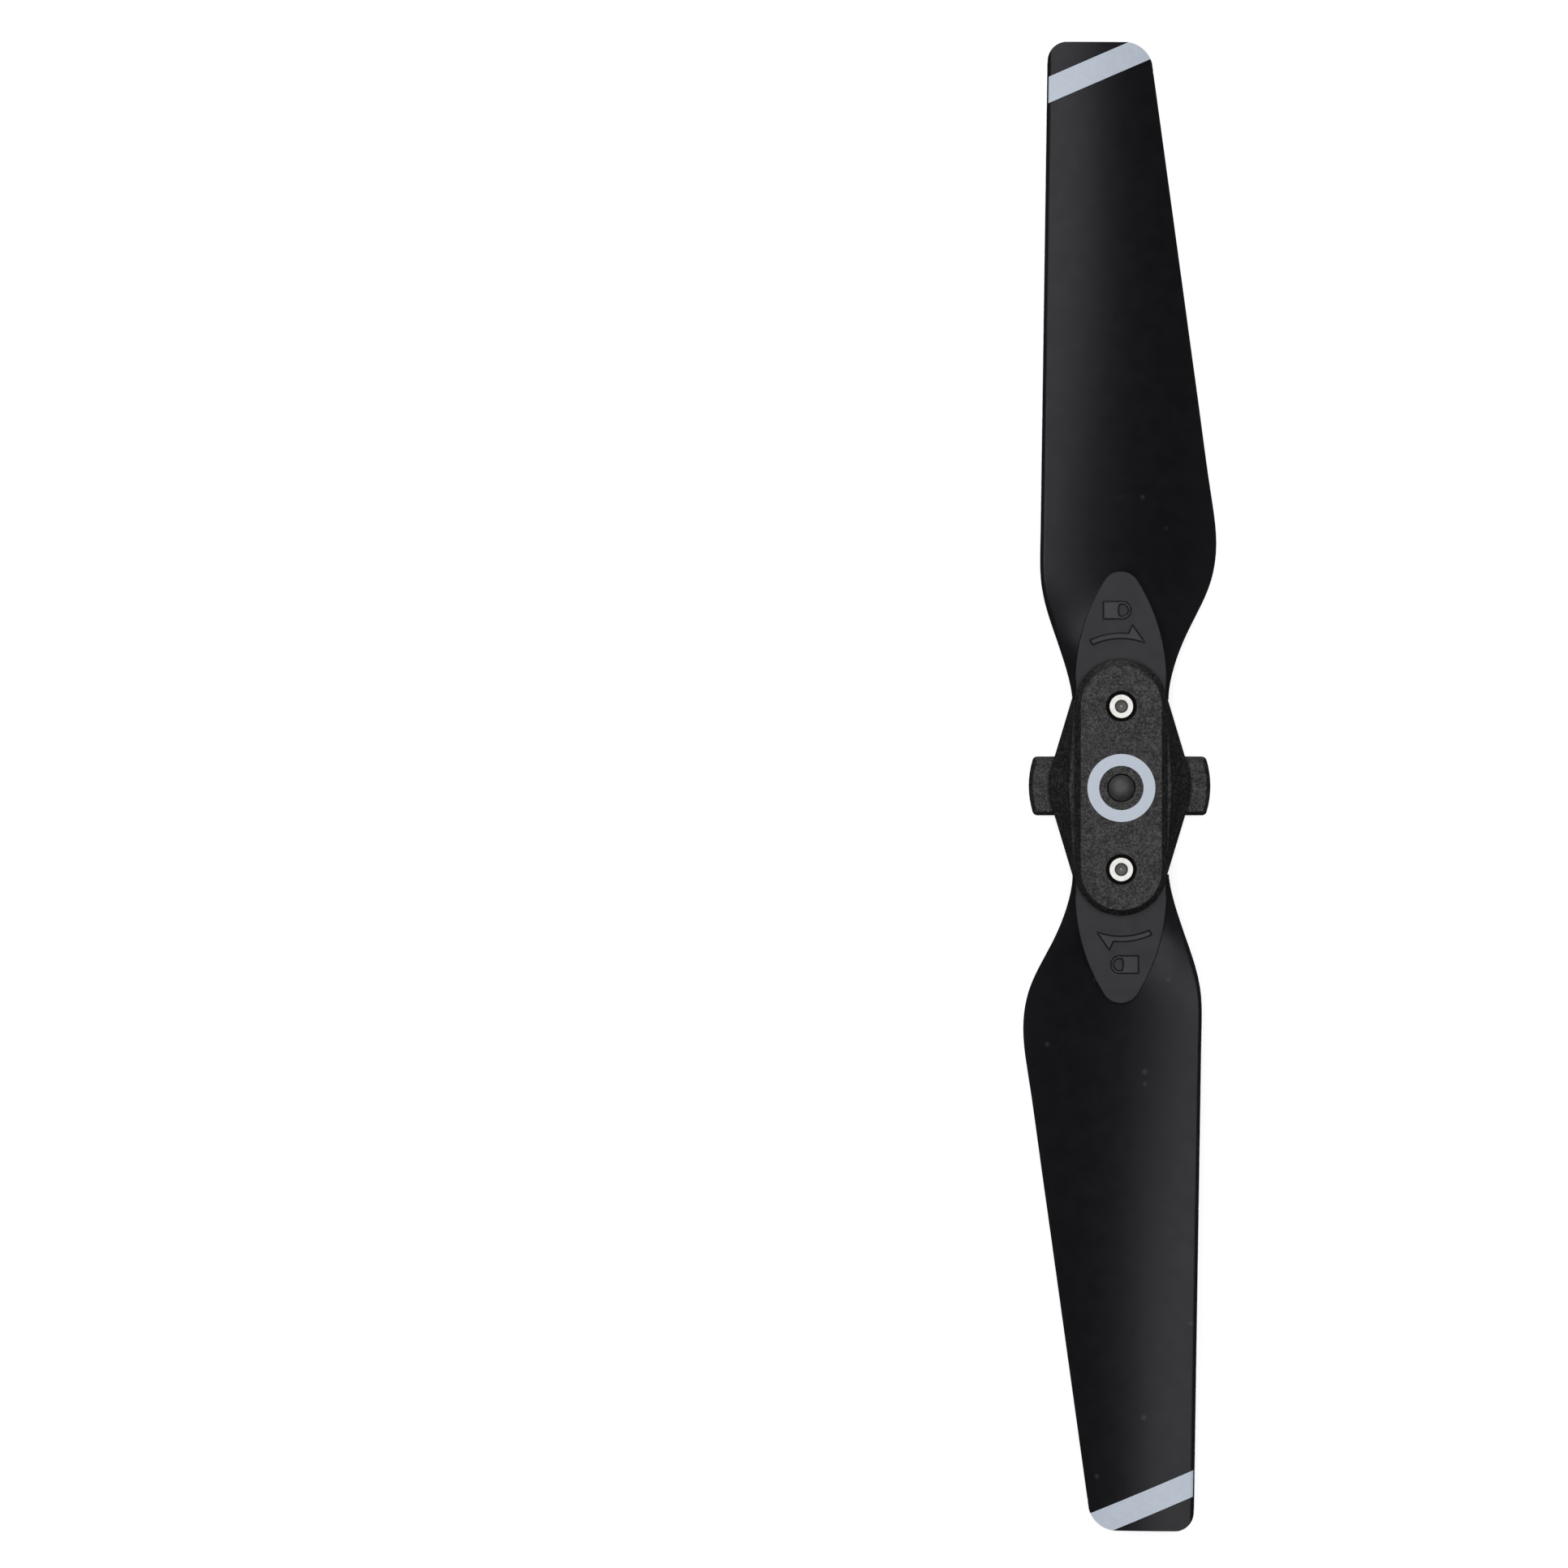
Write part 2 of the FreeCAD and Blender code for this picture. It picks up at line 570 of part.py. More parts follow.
def add_marks(body):
    """Raised padlock lying on its side, and the arrow for the way the propeller turns to lock."""
    lock = new_sketch(body, "padlock_outline", offset="root_top")
    low, high = "lock_height - lock_half_width", "lock_height + lock_half_width"
    outline(lock, [("-lock_body_end", low), ("lock_bend", low), ("lock_bend", high),
                   ("-lock_body_end", high)],
            {1: ("lock_bend + lock_half_width", "lock_height")})
    gap = "(lock_half_width - lock_line)"
    low, high = f"lock_height - {gap}", f"lock_height + {gap}"
    outline(lock, [("-lock_bend", low), ("lock_bend", low), ("lock_bend", high), ("-lock_bend", high)],
            {1: (f"lock_bend + {gap}", "lock_height"), 3: ("-lock_bend - lock_bulge", "lock_height")})
    pad(body, lock, "mark_height", "padlock")
    arrow = new_sketch(body, "arrow_outline", offset="root_top")

    def at(radius, angle):
        return f"({radius}) * cos({angle} * 1deg)", f"hinge_offset + ({radius}) * sin({angle} * 1deg)"

    inner = "arrow_radius - arrow_stroke / 2"
    outer = "arrow_radius + arrow_stroke / 2"
    outline(arrow, [
        at(inner, "arrow_tail_angle"), at(outer, "arrow_tail_angle"), at(outer, "arrow_neck_angle"),
        at("arrow_radius + arrow_barb", "arrow_barb_angle"), at(inner, "arrow_tip_angle"),
    ], {
        1: at(outer, "(arrow_tail_angle + arrow_neck_angle) / 2"),
        4: at(inner, "(arrow_tail_angle + arrow_tip_angle) / 2"),
    })
    pad(body, arrow, "mark_height", "arrow")


def make_blade(label, turn):
    body = new_body(label)
    foil = doc.addObject("Part::Loft", f"{label}_foil")
    foil.Sections = [section(body, index, *row) for index, row in enumerate(stations())]
    foil.Solid = True
    # A higher degree would let the blade's edges ripple between the sections.
    foil.MaxDegree = 3
    doc.recompute()
    body.BaseFeature = foil
    root = new_sketch(body, "root_outline", offset="root_bottom")
    flat_top_outline(root)
    pad(body, root, "root_thickness", "root")
    cut_relief(body)
    cut_tip(body)
    hole = new_sketch(body, "hinge_hole_outline", offset="root_bottom")
    circle(hole, "0", "hinge_offset", "blade_hole_radius")
    cut(body, hole, "root_thickness", "hinge_hole", upwards=True)
    add_marks(body)
    body.Placement = FreeCAD.Placement(Vector(), FreeCAD.Rotation(Vector(0, 0, 1), turn))
    return body


def make_tip_band(label, blade, turn):
    """Printed film on the blade's upper face: a slanting strip lifted off the face itself."""
    # A face counts as upper when its normal rises at least this much.
    least_rise = 0.3

    def lead_at(reach):
        share = (reach - value("shoulder_radius")) / value("tip_radius - shoulder_radius")
        return value("shoulder_lead") + share * value("tip_lead - shoulder_lead")

    inner, width, slope = value("band_reach"), value("band_width"), value("band_slope")
    margin, beyond = value("band_margin"), value("shoulder_trail")
    rise = slope * (beyond + lead_at(inner))
    corners = [
        Vector(margin - lead_at(inner), inner + slope * margin, 0),
        Vector(beyond, inner + rise, 0),
        Vector(beyond, inner + width + rise, 0),
        Vector(margin - lead_at(inner + width), inner + width + slope * margin, 0),
    ]
    strip = Part.Face(Part.makePolygon(corners + corners[:1])).extrude(Vector(0, 0, value("plate_top")))
    film = None
    for face in blade.Shape.common(strip).Faces:
        low_u, high_u, low_v, high_v = face.ParameterRange
        if face.normalAt((low_u + high_u) / 2, (low_v + high_v) / 2).z < least_rise:
            continue
        layer = face.extrude(Vector(0, 0, value("print_thickness")))
        film = film.fuse(layer) if film else layer
    band = doc.addObject("Part::Feature", label)
    band.Label = label
    band.Shape = film.removeSplitter()
    band.Placement = FreeCAD.Placement(Vector(), FreeCAD.Rotation(Vector(0, 0, 1), turn))
    return band


def main():
    fill_sheet()
    parts = [
        make_lower_hub(),
        make_upper_hub(),
        make_rivet("rivet_a", ""),
        make_rivet("rivet_b", "-"),
        make_centre_pin(),
        make_ring_mark(),
        make_blade("blade_a", 0),
        make_blade("blade_b", 180),
    ]
    doc.recompute()
    blade = parts[-2]
    parts += [make_tip_band("tip_band_a", blade, 0), make_tip_band("tip_band_b", blade, 180)]
    doc.recompute()
    for item in doc.Objects:
        if "Invalid" in item.State or "Error" in item.State:
            raise RuntimeError(f"{item.Label} failed: {item.State}")
    os.makedirs("parts", exist_ok=True)
    for part in parts:
        shape = part.Shape
        if shape.isNull() or not shape.isValid():
            raise RuntimeError(f"{part.Label} has no valid shape")
        shape.exportStep(f"parts/{part.Label}.step")
        print(part.Label, len(shape.Solids), round(shape.Volume, 2), shape.BoundBox)


main()
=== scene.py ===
import bpy, math
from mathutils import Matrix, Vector


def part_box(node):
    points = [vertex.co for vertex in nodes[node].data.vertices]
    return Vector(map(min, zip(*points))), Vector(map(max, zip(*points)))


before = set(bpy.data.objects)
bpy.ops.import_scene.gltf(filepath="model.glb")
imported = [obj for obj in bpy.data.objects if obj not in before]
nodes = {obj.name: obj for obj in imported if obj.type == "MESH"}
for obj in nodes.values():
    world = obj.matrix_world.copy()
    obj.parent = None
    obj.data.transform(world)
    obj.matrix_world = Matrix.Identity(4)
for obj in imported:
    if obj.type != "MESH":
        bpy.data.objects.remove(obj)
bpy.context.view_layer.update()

# Folding propeller. Every visible piece is a CAD node, and gets its finish here.

scene = bpy.context.scene
mm = 0.001


def addNode(tree, kind, **values):
    # Sets a value on the socket of that name, or else on the node itself.
    node = tree.nodes.new(kind)
    for key, value in values.items():
        if key in node.inputs:
            node.inputs[key].default_value = value
        else:
            setattr(node, key, value)
    return node


def feed(tree, value, socket):
    # A plain number goes on the socket, and anything else is linked to it.
    if isinstance(value, (int, float)):
        socket.default_value = value
    else:
        tree.links.new(value, socket)


def mathNode(tree, operation, *values):
    node = tree.nodes.new("ShaderNodeMath")
    node.operation = operation
    for index, value in enumerate(values):
        feed(tree, value, node.inputs[index])
    return node.outputs[0]


def noise(tree, where, scale, detail=2.0, roughness=0.5):
    node = addNode(tree, "ShaderNodeTexNoise", Detail=detail, Roughness=roughness)
    tree.links.new(where, node.inputs["Vector"])
    feed(tree, scale, node.inputs["Scale"])
    return node.outputs["Fac"]


def spread(tree, value, low, high):
    # A smooth step from 0 at low to 1 at high.
    node = tree.nodes.new("ShaderNodeMapRange")
    node.interpolation_type = "SMOOTHSTEP"
    tree.links.new(value, node.inputs["Value"])
    feed(tree, low, node.inputs["From Min"])
    feed(tree, high, node.inputs["From Max"])
    return node.outputs["Result"]


def splitPlace(tree, where):
    node = tree.nodes.new("ShaderNodeSeparateXYZ")
    tree.links.new(where, node.inputs[0])
    return node.outputs


def newMaterial(name):
    mat = bpy.data.materials.new(name)
    mat.use_nodes = True
    mat.node_tree.nodes.clear()
    return mat


camera = {
    "distance": 1.3,
    "frameWidth": 125.6 * mm,    # what the view's side covers at the hub
    "aside": 26.99 * mm,         # the propeller stands this far right of the view's middle
    "below": 0.28 * mm,          # and this far under it
    "lift": 30 * mm,             # the camera stands this far towards blade A's tip
    "aimHeight": 6 * mm,
    "sensorWidth": 36,
    "clipStart": 0.01,
    "clipEnd": 20,
}


def makeCamera():
    data = bpy.data.cameras.new("studioCamera")
    cam = bpy.data.objects.new("studioCamera", data)
    scene.collection.objects.link(cam)
    aim = Vector((-camera["aside"], camera["below"], camera["aimHeight"]))
    cam.location = aim + Vector((0, camera["lift"], camera["distance"]))
    cam.rotation_euler = (-math.atan2(camera["lift"], camera["distance"]), 0, 0)
    reach = (aim - cam.location).length
    data.sensor_width = camera["sensorWidth"]
    data.lens = data.sensor_width * reach / camera["frameWidth"]
    data.clip_start = camera["clipStart"]
    data.clip_end = camera["clipEnd"]
    scene.camera = cam


lights = [
    {"name": "overhead", "place": (-0.05, 0.10, 1.7), "sizeX": 1.2, "sizeY": 1.2, "power": 15.5},
    {"name": "topEdge", "place": (-0.15, 1.1, 0.2), "sizeX": 0.9, "sizeY": 0.3, "power": 6.0},
]


def makeLights():
    for light in lights:
        data = bpy.data.lights.new(light["name"], "AREA")
        data.shape = "RECTANGLE"
        data.size = light["sizeX"]
        data.size_y = light["sizeY"]
        data.energy = light["power"]
        lamp = bpy.data.objects.new(light["name"], data)
        scene.collection.objects.link(lamp)
        lamp.location = light["place"]
        lamp.rotation_euler = (-Vector(light["place"])).to_track_quat("-Z", "Y").to_euler()


room = {
    "colour": (0.93, 0.93, 0.94, 1),
    "fill": 0.03,                # the room's light from higher up
    "horizonFill": 0.38,         # and the brighter light that it gives near the horizon
    "horizonLow": 0.15,          # sine of the height where that light starts to fade
    "horizonHigh": 0.5,          # and where it has gone
}


def makeWorld():
    world = bpy.data.worlds.new("paleRoom")
    scene.world = world
    world.use_nodes = True
    tree = world.node_tree
    tree.nodes.clear()
    out = addNode(tree, "ShaderNodeOutputWorld")
    seen = addNode(tree, "ShaderNodeBackground", Color=room["colour"], Strength=1.0)
    fill = addNode(tree, "ShaderNodeBackground", Color=room["colour"])
    height = splitPlace(tree, addNode(tree, "ShaderNodeTexCoord").outputs["Generated"])["Z"]
    low = spread(tree, height, room["horizonHigh"], room["horizonLow"])
    feed(tree, mathNode(tree, "MULTIPLY_ADD", low, room["horizonFill"], room["fill"]),
         fill.inputs["Strength"])
    path = addNode(tree, "ShaderNodeLightPath")
    mix = addNode(tree, "ShaderNodeMixShader")
    tree.links.new(path.outputs["Is Camera Ray"], mix.inputs["Fac"])
    tree.links.new(fill.outputs[0], mix.inputs[1])
    tree.links.new(seen.outputs[0], mix.inputs[2])
    tree.links.new(mix.outputs[0], out.inputs["Surface"])


floor = {
    "size": 6.0,
    "colour": (0.86, 0.86, 0.87, 1),
    "glow": 0.8,                 # lifts it to a plain white sweep for the camera
    "bounce": (0.12, 0.12, 0.12, 1),    # how pale it is for the light that the object gets from it
}


def makeFloor():
    mesh = bpy.data.meshes.new("floor")
    half = floor["size"] / 2
    mesh.from_pydata([(-half, -half, 0), (half, -half, 0), (half, half, 0), (-half, half, 0)],
                     [], [(0, 1, 2, 3)])
    plane = bpy.data.objects.new("floor", mesh)
    scene.collection.objects.link(plane)
    mat = newMaterial("paleFloor")
    tree = mat.node_tree
    out = addNode(tree, "ShaderNodeOutputMaterial")
    lit = addNode(tree, "ShaderNodeBsdfDiffuse", Color=floor["colour"])
    glow = addNode(tree, "ShaderNodeEmission", Color=floor["colour"], Strength=floor["glow"])
    seen = addNode(tree, "ShaderNodeAddShader")
    bounce = addNode(tree, "ShaderNodeBsdfDiffuse", Color=floor["bounce"])
    path = addNode(tree, "ShaderNodeLightPath")
    mix = addNode(tree, "ShaderNodeMixShader")
    tree.links.new(lit.outputs[0], seen.inputs[0])
    tree.links.new(glow.outputs[0], seen.inputs[1])
    tree.links.new(path.outputs["Is Camera Ray"], mix.inputs["Fac"])
    tree.links.new(bounce.outputs[0], mix.inputs[1])
    tree.links.new(seen.outputs[0], mix.inputs[2])
    tree.links.new(mix.outputs[0], out.inputs["Surface"])
    mesh.materials.append(mat)


def newGroup(name, inputs, outputs):
    tree = bpy.data.node_groups.new(name, "ShaderNodeTree")
    for label in inputs:
        kind = "NodeSocketVector" if label == "Vector" else "NodeSocketFloat"
        tree.interface.new_socket(label, in_out="INPUT", socket_type=kind)
    for label in outputs:
        tree.interface.new_socket(label, in_out="OUTPUT", socket_type="NodeSocketFloat")
    return tree, tree.nodes.new("NodeGroupInput"), tree.nodes.new("NodeGroupOutput")


def turned(tree, where, rotation, stretch):
    # The same place, turned and drawn out along one direction.
    node = addNode(tree, "ShaderNodeMapping", vector_type="TEXTURE")
    node.inputs["Rotation"].default_value = rotation
    node.inputs["Scale"].default_value = (stretch, 1, 1)
    tree.links.new(where, node.inputs["Vector"])
    return node.outputs["Vector"]


fibreGrain = {
    "mottleDetail": 5.0, "mottleRough": 0.62,
    "mottleLow": 0.3, "mottleHigh": 0.7,
    "angles": (0.35, 1.45, 2.5),        # the fibres lie three ways
    "tilt": 0.4,
    "stretch": 2.8,
    "fibreDetail": 1.0, "fibreRough": 0.4,
    "fibreLow": 0.59, "fibreHigh": 0.68,
    "fineDetail": 3.0, "fineRough": 0.6,
    "fineLow": 0.42, "fineHigh": 0.60,
    "fineHeight": 0.6, "fibreHeight": 0.3,
}


def makeFibreGrain():
    # Short glass fibres and resin mottle in a filled nylon moulding.
    grain = fibreGrain
    tree, given, result = newGroup("fibreGrain",
                                   ["Vector", "Mottle Scale", "Fibre Scale", "Fibre Amount"],
                                   ["Mottle", "Speckle", "Fibres", "Height"])
    where = given.outputs["Vector"]
    fibreScale = given.outputs["Fibre Scale"]
    mottle = noise(tree, where, given.outputs["Mottle Scale"], grain["mottleDetail"], grain["mottleRough"])
    every = None
    for angle in grain["angles"]:
        along = turned(tree, where, (grain["tilt"], 0, angle), grain["stretch"])
        streak = noise(tree, along, fibreScale, grain["fibreDetail"], grain["fibreRough"])
        shown = spread(tree, streak, grain["fibreLow"], grain["fibreHigh"])
        every = mathNode(tree, "MAXIMUM", every, shown) if every else shown
    fine = noise(tree, where, fibreScale, grain["fineDetail"], grain["fineRough"])
    height = mathNode(tree, "MULTIPLY_ADD", fine, grain["fineHeight"], mottle)
    height = mathNode(tree, "MULTIPLY_ADD", every, grain["fibreHeight"], height)
    fibres = mathNode(tree, "MULTIPLY", every, given.outputs["Fibre Amount"])
    tree.links.new(spread(tree, mottle, grain["mottleLow"], grain["mottleHigh"]), result.inputs["Mottle"])
    tree.links.new(spread(tree, fine, grain["fineLow"], grain["fineHigh"]), result.inputs["Speckle"])
    tree.links.new(fibres, result.inputs["Fibres"])
    tree.links.new(height, result.inputs["Height"])
    return tree


edgeWear = {
    "samples": 8,
    "edgeLow": 0.01, "edgeHigh": 0.12,
    "patchDetail": 4.0, "patchRough": 0.6,
    "patchLow": 0.42, "patchHigh": 0.62,
}


def makeEdgeWear():
    # Mask of the edges, whole and broken up into worn patches.
    wear = edgeWear
    tree, given, result = newGroup("edgeWear", ["Vector", "Break Up Scale", "Amount", "Width"],
                                   ["Edge", "Wear"])
    rounded = addNode(tree, "ShaderNodeBevel", samples=wear["samples"])
    tree.links.new(given.outputs["Width"], rounded.inputs["Radius"])
    sharp = addNode(tree, "ShaderNodeNewGeometry")
    alike = addNode(tree, "ShaderNodeVectorMath", operation="DOT_PRODUCT")
    tree.links.new(rounded.outputs[0], alike.inputs[0])
    tree.links.new(sharp.outputs["Normal"], alike.inputs[1])
    apart = mathNode(tree, "SUBTRACT", 1.0, alike.outputs["Value"])
    edge = spread(tree, apart, wear["edgeLow"], wear["edgeHigh"])
    patches = noise(tree, given.outputs["Vector"], given.outputs["Break Up Scale"],
                    wear["patchDetail"], wear["patchRough"])
    patchy = mathNode(tree, "MULTIPLY", edge, spread(tree, patches, wear["patchLow"], wear["patchHigh"]))
    tree.links.new(edge, result.inputs["Edge"])
    tree.links.new(mathNode(tree, "MULTIPLY", patchy, given.outputs["Amount"]), result.inputs["Wear"])
    return tree


settledDust = {
    "speckEdge": 0.16, "speckMiddle": 0.04,
    "rarity": 0.86,
    "upLow": 0.6, "upHigh": 0.95,       # how far up a face looks before dust lies on it
}


def makeDust():
    # Sparse settled specks on faces that look up.
    dust = settledDust
    tree, given, result = newGroup("dust", ["Vector", "Scale", "Amount"], ["Specks"])
    cells = addNode(tree, "ShaderNodeTexVoronoi")
    tree.links.new(given.outputs["Vector"], cells.inputs["Vector"])
    tree.links.new(given.outputs["Scale"], cells.inputs["Scale"])
    near = spread(tree, cells.outputs["Distance"], dust["speckEdge"], dust["speckMiddle"])
    pick = addNode(tree, "ShaderNodeSeparateColor")
    tree.links.new(cells.outputs["Color"], pick.inputs[0])
    few = mathNode(tree, "GREATER_THAN", pick.outputs[0], dust["rarity"])
    facing = splitPlace(tree, addNode(tree, "ShaderNodeNewGeometry").outputs["Normal"])["Z"]
    upward = spread(tree, facing, dust["upLow"], dust["upHigh"])
    specks = mathNode(tree, "MULTIPLY", mathNode(tree, "MULTIPLY", near, few), upward)
    tree.links.new(mathNode(tree, "MULTIPLY", specks, given.outputs["Amount"]), result.inputs["Specks"])
    return tree


shutIn = {"samples": 8, "open": 0.75, "closed": 0.35}


def makePaintedCreviceShade():
    # How shut in a spot is, as the mask for painted shade in the bottoms of gaps and recesses.
    tree, given, result = newGroup("paintedCreviceShade", ["Reach", "Amount"], ["Shade"])
    near = addNode(tree, "ShaderNodeAmbientOcclusion", samples=shutIn["samples"])
    tree.links.new(given.outputs["Reach"], near.inputs["Distance"])
    shut = spread(tree, near.outputs["AO"], shutIn["open"], shutIn["closed"])
    tree.links.new(mathNode(tree, "MULTIPLY", shut, given.outputs["Amount"]), result.inputs["Shade"])
    return tree


handling = {
    "strokes": ((0.5, 20), (1.9, 12)),  # angle, and how long and thin
    "lineDetail": 3.0, "lineRough": 0.55,
    "lineLow": 0.70, "lineHigh": 0.76,
    "patchScale": 120.0,
    "patchLow": 0.5, "patchHigh": 0.65,
}


def makeScuffs():
    # Fine handling scratches in patches.
    tree, given, result = newGroup("scuffs", ["Vector", "Scale", "Amount"], ["Lines"])
    where = given.outputs["Vector"]
    lines = None
    for angle, stretch in handling["strokes"]:
        along = turned(tree, where, (0, 0, angle), stretch)
        streak = noise(tree, along, given.outputs["Scale"], handling["lineDetail"], handling["lineRough"])
        stroke = spread(tree, streak, handling["lineLow"], handling["lineHigh"])
        lines = mathNode(tree, "MAXIMUM", lines, stroke) if lines else stroke
    patches = spread(tree, noise(tree, where, handling["patchScale"]),
                     handling["patchLow"], handling["patchHigh"])
    seen = mathNode(tree, "MULTIPLY", mathNode(tree, "MULTIPLY", lines, patches), given.outputs["Amount"])
    tree.links.new(seen, result.inputs["Lines"])
    return tree


effects = {
    "grain": makeFibreGrain(),
    "edges": makeEdgeWear(),
    "dust": makeDust(),
    "paintedCreviceShade": makePaintedCreviceShade(),
    "scuffs": makeScuffs(),
}
print("effects made")


def useEffect(tree, name, where, values):
    node = tree.nodes.new("ShaderNodeGroup")
    node.node_tree = effects[name]
    if "Vector" in node.inputs:
        tree.links.new(where, node.inputs["Vector"])
    for label, value in values.items():
        node.inputs[label].default_value = value
    return node.outputs


def blendColour(tree, mask, low, high):
    node = tree.nodes.new("ShaderNodeMix")
    node.data_type = "RGBA"
    tree.links.new(mask, node.inputs["Factor"])
    colours = [socket for socket in node.inputs if socket.type == "RGBA"]
    for socket, value in zip(colours, (low, high)):
        if isinstance(value, tuple):
            socket.default_value = (*value, 1)
        else:
            tree.links.new(value, socket)
    return [socket for socket in node.outputs if socket.type == "RGBA"][0]


def startMaterial(name, shader):
    mat = newMaterial(name)
    tree = mat.node_tree
    out = addNode(tree, "ShaderNodeOutputMaterial")
    bsdf = addNode(tree, "ShaderNodeBsdfPrincipled", **shader)
    tree.links.new(bsdf.outputs[0], out.inputs["Surface"])
    where = addNode(tree, "ShaderNodeTexCoord").outputs["Object"]
    return mat, tree, bsdf, where


roundSamples = 6


def bumpInto(tree, bsdf, height, finish):
    bump = addNode(tree, "ShaderNodeBump", Strength=finish["bump"], Distance=finish["bumpDepth"])
    tree.links.new(height, bump.inputs["Height"])
    if "edgeRound" in finish:
        rounded = addNode(tree, "ShaderNodeBevel", samples=roundSamples, Radius=finish["edgeRound"])
        tree.links.new(rounded.outputs[0], bump.inputs["Normal"])
    tree.links.new(bump.outputs[0], bsdf.inputs["Normal"])


hubNylon = {
    "dark": (0.0028, 0.0028, 0.003),
    "light": (0.0075, 0.0075, 0.008),
    "fibre": (0.085, 0.085, 0.088),
    "worn": (0.03, 0.03, 0.031),
    "dusty": (0.2, 0.2, 0.19),
    "paintedShade": (0.001, 0.001, 0.001),
    "roughLow": 0.36, "roughHigh": 0.64,
    "mottlePolish": 0.4, "specklePolish": 0.6,
    "scuffPolish": 0.2,
    "specular": 0.40,
    "bump": 0.6, "bumpDepth": 0.03 * mm,
    "edgeRound": 0.12 * mm,
    "grain": {"Mottle Scale": 1500.0, "Fibre Scale": 6000.0, "Fibre Amount": 0.4},
    "edges": {"Break Up Scale": 1500.0, "Amount": 0.6, "Width": 0.14 * mm},
    "dust": {"Scale": 1300.0, "Amount": 0.5},
    "scuffs": {"Scale": 900.0, "Amount": 0.35},
    "paintedCreviceShade": {"Reach": 0.7 * mm, "Amount": 0.95},
}


def makeHubNylon():
    finish = hubNylon
    mat, tree, bsdf, where = startMaterial("hubNylon", {"Specular IOR Level": finish["specular"]})
    grain = useEffect(tree, "grain", where, finish["grain"])
    edges = useEffect(tree, "edges", where, finish["edges"])
    dust = useEffect(tree, "dust", where, finish["dust"])
    scuffs = useEffect(tree, "scuffs", where, finish["scuffs"])
    paintedCreviceShade = useEffect(tree, "paintedCreviceShade", where, finish["paintedCreviceShade"])
    base = blendColour(tree, grain["Mottle"], finish["dark"], finish["light"])
    base = blendColour(tree, grain["Fibres"], base, finish["fibre"])
    base = blendColour(tree, edges["Wear"], base, finish["worn"])
    base = blendColour(tree, dust["Specks"], base, finish["dusty"])
    # Painted shade: gaps and recesses darkened towards near black in the base colour.
    base = blendColour(tree, paintedCreviceShade["Shade"], base, finish["paintedShade"])
    tree.links.new(base, bsdf.inputs["Base Color"])
    polish = mathNode(tree, "MULTIPLY", grain["Speckle"], finish["specklePolish"])
    polish = mathNode(tree, "MULTIPLY_ADD", grain["Mottle"], finish["mottlePolish"], polish)
    rough = mathNode(tree, "MULTIPLY_ADD", polish,
                     finish["roughLow"] - finish["roughHigh"], finish["roughHigh"])
    scratched = mathNode(tree, "MULTIPLY", scuffs["Lines"], finish["scuffPolish"])
    rough = mathNode(tree, "SUBTRACT", rough, scratched)
    rough = mathNode(tree, "MAXIMUM", rough, paintedCreviceShade["Shade"])
    tree.links.new(rough, bsdf.inputs["Roughness"])
    bumpInto(tree, bsdf, grain["Height"], finish)
    return mat


bladeNylon = {
    "dark": (0.0078, 0.0078, 0.0092),
    "light": (0.0098, 0.0098, 0.0114),
    "scuffed": (0.02, 0.02, 0.021),
    "dusty": (0.12, 0.12, 0.11),
    "outline": (0.001, 0.001, 0.001),
    "mark": (0.034, 0.034, 0.037),
    "roughLow": 0.35, "roughHigh": 0.40,
    "scuffPolish": 0.12,
    "specular": 0.22,
    "tint": (0.94, 0.94, 1.0, 1),
    "bump": 0.12, "bumpDepth": 0.008 * mm,
    "edgeRound": 0.10 * mm,
    "plateGap": 0.06 * mm,       # the root's flat top is this far under the top plate
    "markLift": 0.05 * mm,       # a height between the flat top and the marks' tops
    "markReach": 15.6 * mm,      # the marks lie nearer the rotation axis than this
    "markSide": 6.2 * mm,        # and inside two lines that close towards the tip
    "markTaper": 0.3,
    "grain": {"Mottle Scale": 700.0, "Fibre Scale": 4200.0, "Fibre Amount": 0.2},
    "edges": {"Break Up Scale": 900.0, "Amount": 0.3, "Width": 0.30 * mm},
    "dust": {"Scale": 520.0, "Amount": 0.3},
    "scuffs": {"Scale": 320.0, "Amount": 0.5},
    "paintedCreviceShade": {"Reach": 0.5 * mm, "Amount": 0.9},
}


